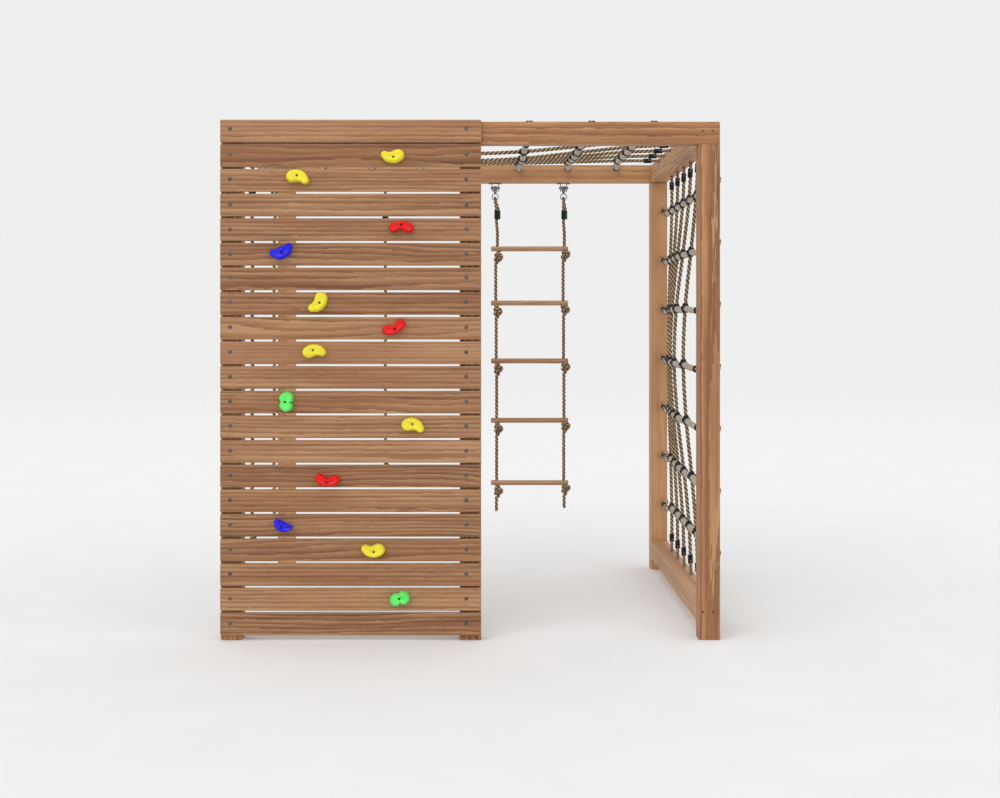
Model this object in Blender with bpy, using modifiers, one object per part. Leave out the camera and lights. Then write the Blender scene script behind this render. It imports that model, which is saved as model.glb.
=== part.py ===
"""Wooden climbing frame: a slatted rock wall, rope nets, a rope ladder and hanging ropes.

Metres, +Z up, +Y from the rock wall towards the back. The origin is on the ground, in the
middle of the footprint, holds included. Every piece is one closed solid in its own object.
"""

import math

import bmesh
import bpy
from mathutils import Matrix, Vector

COLLECTION = "climbing_frame"
CUTTERS = "climbing_frame_cutters"
GAP = 0.0003  # left between pieces that touch
UP = Vector((0, 0, 1))

# timber frame
WIDTH = 2.09
DEPTH = 2.09
POST = 0.09
POST_HEIGHT = 2.075
BEAM_HEIGHT = 0.094
TIMBER_BEVEL = 0.004
LOW_BEAM = (0.063, 0.155)  # underside and top of the beam between the right posts

# rock wall
BOARDS = 21
BOARD_HEIGHT = 0.0945
BOARD_THICKNESS = 0.020
WALL_BOTTOM = 0.0226
WALL_TOP = 2.175
BOARD_PITCH = (WALL_TOP - WALL_BOTTOM - BOARD_HEIGHT) / (BOARDS - 1)
HOLD_HEIGHT = 0.042

# the footprint's middle is at Y = 0, so the frame stands back by half of what is on its front
FRONT_EXTRA = GAP + BOARD_THICKNESS + GAP + HOLD_HEIGHT
FRONT = (FRONT_EXTRA - DEPTH) / 2
BACK = FRONT + DEPTH
MIDDLE = (FRONT + BACK) / 2
LEFT = -WIDTH / 2
RIGHT = WIDTH / 2
WALL_RIGHT = POST / 2
WALL_FACE = FRONT - GAP - BOARD_THICKNESS

# ropes and nets
ROPE_R = 0.008
NET_PITCH = 0.2613  # between the places where the ropes meet the timber
NET_CELL = 0.2523  # between the crossings, where the net has pulled itself in
LONG_ROPES = 5
CROSS_ROPES = 7
SLEEVED_R = 0.0135  # a net's cross rope, in its tube sleeves
NET_END_GAP = 0.003  # the ropes meet the timber askew
SIDE_NET_INSET = 0.025  # the nets' edges lie this far inside the outer faces
SIDE_NET_BULGE = 0.077
SIDE_NET_LEANS = (0.69, 1.09)  # move the bulge's top to the front and up
SIDE_NET_MIDDLE = 1.14
ROOF_NET_INSET = 0.018
ROOF_NET_SAG = 0.071
ROOF_NET_LEAN = 0.65
ROOF_NET_SHIFT = -0.0145

# hooks that hang from the beams' undersides
PIN_DROP = 0.0265
PIN_R = 0.004
RING_R = 0.01675
RING_WIRE_R = 0.00225
RING_DROP = 0.0745
PIN_Z = POST_HEIGHT - PIN_DROP
RING_Z = POST_HEIGHT - RING_DROP
PLATE_SIZE = (0.072, 0.030, 0.004)
CHEEK_X = 0.0145
CHEEK_THICKNESS = 0.003
CHEEK_WIDTH = 0.022
CHEEK_DROP = 0.047
BOLT_LENGTH = 0.040
BOLT_HEAD = (0.0075, 0.006)  # radius and height
EYE_R = 0.010
EYE_HALF = 0.010
STEM_SIZE = (0.012, 0.007)

# rope ladder on the back beam
LADDER_HOOKS = (0.122, 0.4906)
LADDER_LINES = (0.1338, 0.4944)  # where its two ropes hang
# how far left of its line each stretch of a rope hangs, from the top, a knot below each
LADDER_STEPS = ((0, 0.009, 0.0065, 0.004, 0.004, 0.005), (0, 0.0065, 0.004, 0.002, 0.003, 0.001))
LADDER_ENDS = (0.308, 0.324)
RUNG_HEIGHTS = (0.461, 0.797, 1.117, 1.429, 1.721)
RUNG_LENGTH = 0.416
RUNG_MIDDLE = 0.3072
RUNG_R = 0.0135
RUNG_HOLE_R = 0.0086
KNOT_DROPS = (0.046, 0.0325)  # below the rung's middle, on the left and right ropes
KNOT_SIZE = (0.025, 0.021, 0.0185)
KNOT_SHIFT = 0.006  # a knot's middle lies to the right of the rope above it
KNOT_REACH = (0.012, 0.030)  # above and below it, where the rope has its own line again
LINE_STEP = 6 * ROPE_R
LOOP_POINTS = 7
SLEEVE_TOP = 1.928
SLEEVE_HEIGHT = 0.048
SLEEVE_SIZE = (0.037, 0.022)
SLEEVE_TURN = math.radians(50)  # the strands in the sleeve lie this far from the beam's line

# single climbing ropes
BACK_ROPE_X = -0.47
BACK_ROPE_END = 0.50
SIDE_ROPE_X = -0.998
SIDE_ROPE_SPREAD = 0.82
SIDE_ROPE_END = 0.29

BACK_BEAM_Y = BACK - POST / 2

# holds, from the top: colour, X, Z of the middle, tilt in degrees, shape
HOLDS = (
    ("yellow", -0.328, 2.023, 179, "bean"),
    ("yellow", -0.715, 1.932, -17, "bean"),
    ("red", -0.288, 1.725, -1, "arch"),
    ("blue", -0.786, 1.626, 205, "crescent"),
    ("yellow", -0.637, 1.409, 228, "bean"),
    ("red", -0.316, 1.308, 206, "arch"),
    ("yellow", -0.646, 1.207, -1, "bean"),
    ("green", -0.767, 0.998, 86, "waist"),
    ("yellow", -0.235, 0.898, -17, "bean"),
    ("red", -0.595, 0.673, 176, "arch"),
    ("blue", -0.781, 0.484, 155, "half_moon"),
    ("yellow", -0.409, 0.381, 175, "bean"),
    ("green", -0.295, 0.177, 13, "waist"),
)

# hold shapes: skeleton length, its rise in the middle, and radii along it from end to end
HOLD_SHAPES = {
    "bean": (0.054, 0.010, (0.0257, 0.0265, 0.0245, 0.0225, 0.0170)),
    "arch": (0.062, 0.012, (0.0200, 0.0185, 0.0165, 0.0200, 0.0205)),
    "crescent": (0.070, 0.015, (0.0145, 0.0245, 0.0260, 0.0265, 0.0149)),
    "half_moon": (0.052, 0.009, (0.0125, 0.0186, 0.0213, 0.0222, 0.0140)),
    "waist": (0.034, 0.004, (0.0250, 0.0235, 0.0175, 0.0280, 0.0260)),
}
# how far each hold's cage reaches past its outline, along and across: smoothing draws it in
HOLD_CAGES = {
    "bean": (1.20, 1.10),
    "arch": (1.17, 1.14),
    "crescent": (1.14, 1.15),
    "half_moon": (1.18, 1.12),
    "waist": (1.24, 1.22),
}
HOLD_RINGS = ((0.0, 1.07), (0.66, 1.12), (1.0, 0.62))  # height share, radius share
HOLD_SIDE_POINTS = 3
HOLD_CAP_POINTS = 2

# colour, roughness, metallic
MATERIALS = {
    "wood_frame": ((0.38, 0.20, 0.10), 0.65, 0.0),
    "wood_board": ((0.40, 0.21, 0.105), 0.65, 0.0),
    "wood_rung": ((0.42, 0.27, 0.15), 0.55, 0.0),
    "hold_yellow": ((0.83, 0.70, 0.05), 0.45, 0.0),
    "hold_red": ((0.75, 0.01, 0.015), 0.25, 0.0),
    "hold_blue": ((0.03, 0.025, 0.68), 0.25, 0.0),
    "hold_green": ((0.08, 0.68, 0.13), 0.45, 0.0),
    "rope": ((0.30, 0.21, 0.12), 0.85, 0.0),
    "net_rope": ((0.36, 0.27, 0.18), 0.8, 0.0),
    "steel": ((0.55, 0.56, 0.57), 0.35, 1.0),
}


# ---------------------------------------------------------------- scene and materials


def clear_scene():
    for obj in list(bpy.data.objects):
        bpy.data.objects.remove(obj, do_unlink=True)


def new_collection(name):
    collection = bpy.data.collections.new(name)
    bpy.context.scene.collection.children.link(collection)
    return collection


def make_materials():
    for name, (colour, roughness, metallic) in MATERIALS.items():
        material = bpy.data.materials.new(name)
        material.use_nodes = True
        shader = material.node_tree.nodes["Principled BSDF"]
        shader.inputs["Base Color"].default_value = (*colour, 1.0)
        shader.inputs["Roughness"].default_value = roughness
        shader.inputs["Metallic"].default_value = metallic


def add_object(name, mesh, material=None, collection=COLLECTION):
    obj = bpy.data.objects.new(name, mesh)
    bpy.data.collections[collection].objects.link(obj)
    if material:
        mesh.materials.clear()
        mesh.materials.append(bpy.data.materials[material])
    return obj


def add_cutter(name, mesh):
    """An object that only cuts or joins others: it is left out of renders and of the build."""
    cutter = add_object(name, mesh, collection=CUTTERS)
    cutter.hide_render = True
    cutter.display_type = "WIRE"
    return cutter


def add_boolean(obj, cutter, operation):
    modifier = obj.modifiers.new(cutter.name, "BOOLEAN")
    modifier.operation = operation
    modifier.solver = "EXACT"
    modifier.object = cutter


def mesh_of(name, build):
    """A mesh that build(bm) fills."""
    bm = bmesh.new()
    build(bm)
    bmesh.ops.recalc_face_normals(bm, faces=bm.faces)
    mesh = bpy.data.meshes.new(name)
    bm.to_mesh(mesh)
    bm.free()
    return mesh


# ---------------------------------------------------------------- shapes


def fill_box(bm, low, high):
    size = Vector(high) - Vector(low)
    centre = (Vector(high) + Vector(low)) / 2
    matrix = Matrix.Translation(centre) @ Matrix.Diagonal((*size, 1.0))
    bmesh.ops.create_cube(bm, size=1.0, matrix=matrix)


def fill_cylinder(bm, centre, axis, radius, length, segments):
    turn = UP.rotation_difference(Vector(axis)).to_matrix().to_4x4()
    bmesh.ops.create_cone(
        bm,
        cap_ends=True,
        segments=segments,
        radius1=radius,
        radius2=radius,
        depth=length,
        matrix=Matrix.Translation(centre) @ turn,
    )


def fill_ellipsoid(bm, centre, size):
    matrix = Matrix.Translation(centre) @ Matrix.Diagonal((*size, 1.0))
    bmesh.ops.create_uvsphere(bm, u_segments=8, v_segments=5, radius=1.0, matrix=matrix)


def smooth_route(points, step):
    """Points about step apart on a smooth curve through the given points."""
    points = [Vector(p) for p in points]
    ends = [points[0] * 2 - points[1]] + points + [points[-1] * 2 - points[-2]]
    route = []
    for a, b, c, d in zip(ends, ends[1:], ends[2:], ends[3:]):
        count = max(1, round((c - b).length / step))
        for k in range(count):
            t = k / count
            route.append(
                0.5
                * (
                    2 * b
                    + (c - a) * t
                    + (2 * a - 5 * b + 4 * c - d) * t * t
                    + (3 * b - a - 3 * c + d) * t * t * t
                )
            )
    return route + [points[-1]]


def tube_mesh(name, routes, radius):
    """One closed tube along each route, from a bevelled curve, with its caps welded."""
    curve = bpy.data.curves.new(name, "CURVE")
    curve.dimensions = "3D"
    curve.bevel_depth = radius
    curve.bevel_resolution = 2
    curve.use_fill_caps = True
    for route in routes:
        spline = curve.splines.new("POLY")
        spline.points.add(len(route) - 1)
        for point, place in zip(spline.points, route):
            point.co = (*place, 1.0)
    guide = bpy.data.objects.new(name + "_guide", curve)
    bpy.context.scene.collection.objects.link(guide)
    graph = bpy.context.evaluated_depsgraph_get()
    mesh = bpy.data.meshes.new_from_object(guide.evaluated_get(graph))
    bpy.data.objects.remove(guide)
    bm = bmesh.new()
    bm.from_mesh(mesh)
    bmesh.ops.remove_doubles(bm, verts=bm.verts, dist=0.00001)
    bmesh.ops.recalc_face_normals(bm, faces=bm.faces)
    bm.to_mesh(mesh)
    bm.free()
    return mesh


# ---------------------------------------------------------------- timber


def timber(name, low, high, material):
    """A planed beam, post or board, its object's origin in its middle."""
    centre = (Vector(low) + Vector(high)) / 2
    mesh = mesh_of(name, lambda bm: fill_box(bm, Vector(low) - centre, Vector(high) - centre))
    obj = add_object(name, mesh, material)
    obj.location = centre
    bevel = obj.modifiers.new("edges", "BEVEL")
    bevel.width = TIMBER_BEVEL
    bevel.segments = 1
    return obj


def build_posts():
    places = {
        "post_front_left": (LEFT, FRONT),
        "post_front_centre": (-POST / 2, FRONT),
        "post_front_right": (RIGHT - POST, FRONT),
        "post_back_left": (LEFT, BACK - POST),
        "post_back_right": (RIGHT - POST, BACK - POST),
    }
    for name, (x, y) in places.items():
        timber(name, (x, y, 0), (x + POST, y + POST, POST_HEIGHT - GAP), "wood_frame")


def build_beams():
    top = POST_HEIGHT + BEAM_HEIGHT
    inner_front = FRONT + POST + GAP
    inner_back = BACK - POST - GAP
    low, high = LOW_BEAM
    spans = {
        "beam_top_front": ((LEFT, FRONT, POST_HEIGHT), (RIGHT, FRONT + POST, top)),
        "beam_top_back": ((LEFT, BACK - POST, POST_HEIGHT), (RIGHT, BACK, top)),
        "beam_top_left": ((LEFT, inner_front, POST_HEIGHT), (LEFT + POST, inner_back, top)),
        "beam_top_right": ((RIGHT - POST, inner_front, POST_HEIGHT), (RIGHT, inner_back, top)),
        "beam_bottom_right": ((RIGHT - POST, inner_front, low), (RIGHT, inner_back, high)),
    }
    for name, (start, end) in spans.items():
        timber(name, start, end, "wood_frame")


def build_boards():
    for k in range(BOARDS):
        z = WALL_BOTTOM + k * BOARD_PITCH
        timber(
            f"wall_board_{k + 1:02d}",
            (LEFT, WALL_FACE, z),
            (WALL_RIGHT, FRONT - GAP, z + BOARD_HEIGHT),
            "wood_board",
        )


# ---------------------------------------------------------------- holds


def skeleton(shape, t):
    """The place, direction and radius at t, from 0 to 1, along a hold's middle line."""
    length, rise, radii = HOLD_SHAPES[shape]
    place = Vector(((t - 0.5) * length, rise * (0.5 - (2 * t - 1) ** 2)))
    direction = Vector((length, -4 * rise * (2 * t - 1))).normalized()
    at = t * (len(radii) - 1)
    k = min(int(at), len(radii) - 2)
    return place, direction, radii[k] + (radii[k + 1] - radii[k]) * (at - k)


def hold_outline(shape, share):
    """The outline at that share of the radii: along one side, round the end, and back."""
    outline = []
    for side, ends in ((1, (0.0, 1.0)), (-1, (1.0, 0.0))):
        for k in range(HOLD_SIDE_POINTS + 1):
            t = ends[0] + (ends[1] - ends[0]) * k / HOLD_SIDE_POINTS
            place, along, radius = skeleton(shape, t)
            across = Vector((-along.y, along.x)) * side
            outline.append(place + across * radius * share)
        place, along, radius = skeleton(shape, ends[1])
        for k in range(1, HOLD_CAP_POINTS):
            turn = math.pi * (0.5 - k / HOLD_CAP_POINTS)
            along_share = math.cos(turn) * side
            across_share = math.sin(turn) * side
            across = Vector((-along.y, along.x))
            outline.append(place + (along * along_share + across * across_share) * radius * share)
    return outline


def fill_hold(bm, shape):
    """A coarse cage of rings, closed at both ends, with a sharp edge round its flat back."""
    long, wide = HOLD_CAGES[shape]
    rings = []
    for height, share in HOLD_RINGS:
        outline = hold_outline(shape, share)
        ring = [bm.verts.new((p.x * long, -height * HOLD_HEIGHT, p.y * wide)) for p in outline]
        rings.append(ring)
    bm.faces.new(rings[0])
    bm.faces.new(rings[-1])
    for lower, upper in zip(rings, rings[1:]):
        for k in range(len(lower)):
            n = (k + 1) % len(lower)
            bm.faces.new((lower[k], lower[n], upper[n], upper[k]))
    crease = bm.edges.layers.float.new("crease_edge")
    for edge in bm.edges:
        if all(abs(v.co.y) < 1e-6 for v in edge.verts):
            edge[crease] = 1.0


def build_holds():
    for number, (colour, x, z, tilt, shape) in enumerate(HOLDS, start=1):
        name = f"hold_{number:02d}_{colour}"
        obj = add_object(name, mesh_of(name, lambda bm: fill_hold(bm, shape)), f"hold_{colour}")
        obj.location = (x, WALL_FACE - GAP, z)
        obj.rotation_euler = (0, -math.radians(tilt), 0)
        smooth = obj.modifiers.new("smooth", "SUBSURF")
        smooth.levels = 1
        smooth.render_levels = 1
        obj.data.shade_smooth()


# ---------------------------------------------------------------- nets


def spread(count, pitch, middle):
    """The places of count ropes, pitch apart, about the middle."""
    return [middle + (k - (count - 1) / 2) * pitch for k in range(count)]


def build_net(name, crossing, long_ends, cross_ends):
    """The long ropes with the sleeved cross ropes joined to them wherever they cross.

    crossing holds each long rope's places where the cross ropes meet it.
    """
    long_routes = [[low, *places, high] for (low, high), places in zip(long_ends, crossing)]
    cross_routes = [[near, *places, far] for (near, far), places in zip(cross_ends, zip(*crossing))]
    net = add_object(name, tube_mesh(name, long_routes, ROPE_R), "net_rope")
    cutter = add_cutter(name + "_cross", tube_mesh(name + "_cross", cross_routes, SLEEVED_R))
    add_boolean(net, cutter, "UNION")


def hump(share, lean):
    """0 at both ends and 1 between them, before the middle where lean is under 1."""
    return math.sin(math.pi * share**lean) ** 2


def side_net_x(y, z):
    """The net's depth at a place: it bulges inwards."""
    along = hump((y - FRONT - POST) / (DEPTH - 2 * POST), SIDE_NET_LEANS[0])
    up = hump((z - LOW_BEAM[1]) / (POST_HEIGHT - LOW_BEAM[1]), SIDE_NET_LEANS[1])
    return RIGHT - SIDE_NET_INSET - SIDE_NET_BULGE * along * up


def build_side_net():
    columns = spread(LONG_ROPES, NET_CELL, MIDDLE)
    rows = spread(CROSS_ROPES, NET_CELL, SIDE_NET_MIDDLE)
    low, high = LOW_BEAM[1] + NET_END_GAP, POST_HEIGHT - NET_END_GAP
    near, far = FRONT + POST + NET_END_GAP, BACK - POST - NET_END_GAP
    edge = RIGHT - SIDE_NET_INSET
    crossing = [[(side_net_x(y, z), y, z) for z in rows] for y in columns]
    long_ends = [
        [(edge, y, low), (edge, y, high)] for y in spread(LONG_ROPES, NET_PITCH, MIDDLE)
    ]
    cross_ends = [
        [(edge, near, z), (edge, far, z)]
        for z in spread(CROSS_ROPES, NET_PITCH, SIDE_NET_MIDDLE)
    ]
    build_net("side_net", crossing, long_ends, cross_ends)


def roof_net_z(x, y):
    """The net's height at a place: it sags, most in front of its middle."""
    across = hump((x - LEFT - POST) / (WIDTH - 2 * POST), 1)
    along = hump((y - FRONT - POST) / (DEPTH - 2 * POST), ROOF_NET_LEAN)
    return POST_HEIGHT + BEAM_HEIGHT - ROOF_NET_INSET - ROOF_NET_SAG * across * along


def build_roof_net():
    rows = spread(LONG_ROPES, NET_CELL, MIDDLE)
    columns = spread(CROSS_ROPES, NET_CELL, ROOF_NET_SHIFT)
    left, right = LEFT + POST + NET_END_GAP, RIGHT - POST - NET_END_GAP
    near, far = FRONT + POST + NET_END_GAP, BACK - POST - NET_END_GAP
    edge = POST_HEIGHT + BEAM_HEIGHT - ROOF_NET_INSET
    crossing = [[(x, y, roof_net_z(x, y)) for x in columns] for y in rows]
    long_ends = [
        [(left, y, edge), (right, y, edge)] for y in spread(LONG_ROPES, NET_PITCH, MIDDLE)
    ]
    cross_ends = [
        [(x, near, edge), (x, far, edge)]
        for x in spread(CROSS_ROPES, NET_PITCH, ROOF_NET_SHIFT)
    ]
    build_net("roof_net", crossing, long_ends, cross_ends)


# ---------------------------------------------------------------- hooks


def build_bracket(name, x):
    """A plate under the back beam, with two cheeks and the bolt through them."""
    width, depth, thickness = PLATE_SIZE
    plate = mesh_of(
        name,
        lambda bm: fill_box(bm, (-width / 2, -depth / 2, -thickness), (width / 2, depth / 2, 0)),
    )
    bracket = add_object(name, plate, "steel")
    bracket.location = (x, BACK_BEAM_Y, POST_HEIGHT - GAP)
    outside = CHEEK_X + CHEEK_THICKNESS
    head_r, head = BOLT_HEAD

    def cheeks(bm):
        for side in (-1, 1):
            inner, outer = sorted((side * CHEEK_X, side * outside))
            half = CHEEK_WIDTH / 2
            fill_box(bm, (inner, -half, -CHEEK_DROP), (outer, half, -thickness / 2))

    def bolt(bm):
        fill_cylinder(bm, (0, 0, -PIN_DROP), (1, 0, 0), PIN_R, BOLT_LENGTH, 16)

    def heads(bm):
        for side in (-1, 1):
            place = (side * (outside + head / 2 - GAP), 0, -PIN_DROP)
            fill_cylinder(bm, place, (1, 0, 0), head_r, head, 6)

    for label, build in (("cheeks", cheeks), ("bolt", bolt), ("heads", heads)):
        add_boolean(bracket, shaped_cutter(bracket, label, build), "UNION")


def build_hanger(name, x):
    """The eye that turns on the bolt, its stem, and the ring that the rope's loop holds."""
    eye = mesh_of(
        name, lambda bm: fill_cylinder(bm, (0, 0, 0), (1, 0, 0), EYE_R, 2 * EYE_HALF, 20)
    )
    hanger = add_object(name, eye, "steel")
    hanger.location = (x, BACK_BEAM_Y, PIN_Z)

    def hole(bm):
        fill_cylinder(bm, (0, 0, 0), (1, 0, 0), PIN_R + 0.0005, 4 * EYE_HALF, 20)

    def stem(bm):
        half = Vector(STEM_SIZE) / 2
        low = RING_Z + RING_R - RING_WIRE_R / 2 - PIN_Z
        fill_box(bm, (-half.x, -half.y, low), (half.x, half.y, -0.65 * EYE_R))

    add_boolean(hanger, shaped_cutter(hanger, "stem", stem), "UNION")
    add_boolean(hanger, shaped_cutter(hanger, "hole", hole), "DIFFERENCE")
    bpy.ops.mesh.primitive_torus_add(
        major_segments=18,
        minor_segments=6,
        major_radius=RING_R,
        minor_radius=RING_WIRE_R,
        location=(x, BACK_BEAM_Y, RING_Z),
        rotation=(math.pi / 2, 0, 0),
    )
    ring = bpy.context.object
    ring.name = name + "_ring"
    ring.hide_render = True
    ring.display_type = "WIRE"
    for collection in list(ring.users_collection):
        collection.objects.unlink(ring)
    bpy.data.collections[CUTTERS].objects.link(ring)
    add_boolean(hanger, ring, "UNION")


def shaped_cutter(obj, label, build):
    """A cutter that build(bm) fills, at the object's own place."""
    cutter = add_cutter(f"{obj.name}_{label}", mesh_of(f"{obj.name}_{label}", build))
    cutter.location = obj.location
    return cutter


# ---------------------------------------------------------------- hanging ropes


def hanging_route(hook, line, beam_turn, knots, steps, end):
    """From the short end in the sleeve, over the ring's wire, and down to the rope's end.

    hook and line are the places in plan of the ring and of the rope below it, and beam_turn
    is the beam's direction. The loop goes through the ring square to the beam.
    """
    wire_z = RING_Z - RING_R
    reach = ROPE_R + RING_WIRE_R + 2 * GAP
    strand = ROPE_R + GAP
    through = direction(beam_turn + math.pi / 2)
    beside = direction(beam_turn + SLEEVE_TURN) * strand
    top = Vector((*hook, wire_z))
    below = Vector((*line, SLEEVE_TOP))
    down = Vector((0, 0, -SLEEVE_HEIGHT))
    route = [below + beside + down / 2, below + beside]
    for k in range(LOOP_POINTS):
        angle = math.pi * k / (LOOP_POINTS - 1)
        route.append(top + through * reach * math.cos(angle) + UP * reach * math.sin(angle))
    route += [below - beside, below - beside + down, below + down * 2.5]
    return smooth_route(route, 2 * ROPE_R) + knotted_line(route[-1], knots, steps, end)


def direction(turn):
    return Vector((math.cos(turn), math.sin(turn), 0))


def knotted_line(start, knots, steps, end):
    """Points down the rope below start, each knot leaving it one step on."""
    route = [start]
    over, under = KNOT_REACH
    for knot, above, below in zip(knots, steps, steps[1:]):
        for height in (over, over / 3):
            route.append(Vector((start.x - above, start.y, knot + height)))
        if knot - under > end + LINE_STEP / 2:
            route.append(Vector((start.x - below, start.y, knot - under)))
    route.append(Vector((start.x - steps[-1], start.y, end)))
    return smooth_route(route, LINE_STEP)[1:]


def build_hanging_rope(name, hook, line, beam_turn, knots, steps, end):
    """A rope on its hook, with the sleeve that clamps its loop and the knots tied in it."""
    route = hanging_route(hook, line, beam_turn, knots, steps, end)
    rope = add_object(name, tube_mesh(name, [route], ROPE_R), "rope")

    def on_rope(bm):
        half = Vector((*SLEEVE_SIZE, SLEEVE_HEIGHT)) / 2
        fill_box(bm, -half, half)
        upright = [e for e in bm.edges if abs(e.verts[0].co.z - e.verts[1].co.z) > half.z]
        bmesh.ops.bevel(
            bm, geom=upright, offset=SLEEVE_SIZE[1] * 0.4, segments=2, affect="EDGES"
        )
        place = Vector((*line, SLEEVE_TOP - SLEEVE_HEIGHT / 2))
        turn = Matrix.Rotation(beam_turn + SLEEVE_TURN, 4, "Z")
        bm.transform(Matrix.Translation(place) @ turn)
        for z, step in zip(knots, steps):
            fill_ellipsoid(bm, (line[0] - step + KNOT_SHIFT, line[1], z), KNOT_SIZE)

    add_boolean(rope, add_cutter(name + "_sleeve", mesh_of(name + "_sleeve", on_rope)), "UNION")


def build_ladder():
    y = BACK_BEAM_Y
    sides = zip(
        ("left", "right"), LADDER_HOOKS, LADDER_LINES, LADDER_STEPS, LADDER_ENDS, KNOT_DROPS
    )
    for side, hook_x, line_x, steps, end, drop in sides:
        build_bracket(f"ladder_bracket_{side}", hook_x)
        build_hanger(f"ladder_hanger_{side}", hook_x)
        knots = [z - drop for z in reversed(RUNG_HEIGHTS)]
        rope = f"ladder_rope_{side}"
        build_hanging_rope(rope, (hook_x, y), (line_x, y), 0, knots, steps, end)
    for number, z in enumerate(RUNG_HEIGHTS, start=1):
        build_rung(f"ladder_rung_{number}", z, len(RUNG_HEIGHTS) - number)


def build_rung(name, z, stretch):
    """A round rung with a hole for each rope, where that stretch of it hangs."""
    mesh = mesh_of(
        name, lambda bm: fill_cylinder(bm, (0, 0, 0), (1, 0, 0), RUNG_R, RUNG_LENGTH, 16)
    )
    rung = add_object(name, mesh, "wood_rung")
    rung.location = (RUNG_MIDDLE, BACK_BEAM_Y, z)

    def holes(bm):
        for line_x, steps in zip(LADDER_LINES, LADDER_STEPS):
            place = (line_x - steps[stretch] - RUNG_MIDDLE, 0, 0)
            fill_cylinder(bm, place, (0, 0, 1), RUNG_HOLE_R, 4 * RUNG_R, 12)

    add_boolean(rung, shaped_cutter(rung, "holes", holes), "DIFFERENCE")
    mesh.shade_smooth()
    mesh.set_sharp_from_angle(angle=math.radians(40))


def build_climbing_ropes():
    knot = ROPE_R + KNOT_SIZE[2]
    straight = (0, 0)
    back = (BACK_ROPE_X, BACK_BEAM_Y)
    knots = [BACK_ROPE_END + knot]
    build_hanging_rope("climbing_rope_back", back, back, 0, knots, straight, BACK_ROPE_END)
    for place, side in (("front", -1), ("rear", 1)):
        at = (SIDE_ROPE_X, MIDDLE + side * SIDE_ROPE_SPREAD / 2)
        name = f"climbing_rope_left_{place}"
        knots = [SIDE_ROPE_END + knot]
        build_hanging_rope(name, at, at, math.pi / 2, knots, straight, SIDE_ROPE_END)


def main():
    clear_scene()
    new_collection(COLLECTION)
    new_collection(CUTTERS)
    make_materials()
    build_posts()
    build_beams()
    build_boards()
    build_holds()
    build_side_net()
    build_roof_net()
    build_ladder()
    build_climbing_ropes()


main()
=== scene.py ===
"""The climbing frame's looks: timber, holds, ropes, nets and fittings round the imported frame.

Metres, +Z up, +Y from the rock wall towards the back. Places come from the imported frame's
boxes; the ropes' routes are those of their solids, with the strands, knots and sleeves added.
"""

import math
import random

import bmesh
import bpy
import numpy as np
from mathutils import Matrix, Vector


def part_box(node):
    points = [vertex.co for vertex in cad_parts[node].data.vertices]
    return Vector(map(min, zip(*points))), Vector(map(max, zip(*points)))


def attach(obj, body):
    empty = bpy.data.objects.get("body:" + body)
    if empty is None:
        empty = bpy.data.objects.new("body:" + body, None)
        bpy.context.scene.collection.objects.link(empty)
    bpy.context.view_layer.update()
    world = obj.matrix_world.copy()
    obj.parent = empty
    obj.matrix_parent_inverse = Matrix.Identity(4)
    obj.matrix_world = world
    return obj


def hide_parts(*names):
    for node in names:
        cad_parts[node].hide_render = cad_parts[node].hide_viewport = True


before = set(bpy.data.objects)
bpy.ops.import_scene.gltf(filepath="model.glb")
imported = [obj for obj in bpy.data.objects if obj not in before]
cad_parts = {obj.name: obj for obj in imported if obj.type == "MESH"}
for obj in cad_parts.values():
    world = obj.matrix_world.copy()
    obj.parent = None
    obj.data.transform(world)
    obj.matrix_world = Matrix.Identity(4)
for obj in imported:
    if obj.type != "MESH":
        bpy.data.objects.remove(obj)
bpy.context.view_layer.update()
RNG = random.Random(11)

GAP = 0.0003
UP = Vector((0, 0, 1))
ASKEW = (0.31, 0.95, 0.08)  # square to no rope, so that every tube can start from it
BODY = "climbing_frame"

# the timber frame's places
LEFT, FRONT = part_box("post_front_left")[0].xy
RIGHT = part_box("post_front_right")[1].x
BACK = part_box("post_back_left")[1].y
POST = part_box("post_front_left")[1].x - LEFT
BEAM_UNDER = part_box("beam_top_front")[0].z
BEAM_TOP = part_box("beam_top_front")[1].z
LOW_BEAM_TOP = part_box("beam_bottom_right")[1].z
MIDDLE = (FRONT + BACK) / 2
BACK_BEAM_Y = BACK - POST / 2

# ropes and nets, as in their solids
ROPE_R = 0.008
NET_PITCH = 0.2613
NET_CELL = 0.2523
LONG_ROPES = 5
CROSS_ROPES = 7
SIDE_NET_INSET = 0.025
SIDE_NET_BULGE = 0.077
SIDE_NET_LEANS = (0.69, 1.09)
SIDE_NET_MIDDLE = 1.14
ROOF_NET_INSET = 0.018
ROOF_NET_SAG = 0.071
ROOF_NET_LEAN = 0.65
ROOF_NET_SHIFT = -0.0145

# hooks and hanging ropes, as in their solids
PIN_Z = BEAM_UNDER - 0.0265
RING_Z = BEAM_UNDER - 0.0745
PIN_R = 0.004
RING_R = 0.01675
RING_WIRE_R = 0.00225
HOOK_PLATE = (0.072, 0.030, 0.004)
CHEEK_WIDTH = 0.022
CHEEK_DROP = 0.047
CHEEK_X = 0.0145
CHEEK_THICKNESS = 0.0045
BOLT_HEAD = (0.0072, 0.0052)  # radius, thickness
STEM_THICKNESS = 0.009
LADDER_HOOKS = (0.122, 0.4906)
LADDER_LINES = (0.1338, 0.4944)
LADDER_STEPS = ((0, 0.009, 0.0065, 0.004, 0.004, 0.005), (0, 0.0065, 0.004, 0.002, 0.003, 0.001))
LADDER_ENDS = (0.308, 0.324)
KNOT_DROPS = (0.046, 0.0325)
LOOP_POINTS = 7
SLEEVE_TOP = 1.928
SLEEVE_HEIGHT = 0.048
SLEEVE_SIZE = (0.037, 0.022)
SLEEVE_TURN = math.radians(50)
BACK_ROPE_X = -0.47
BACK_ROPE_END = 0.50
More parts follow.
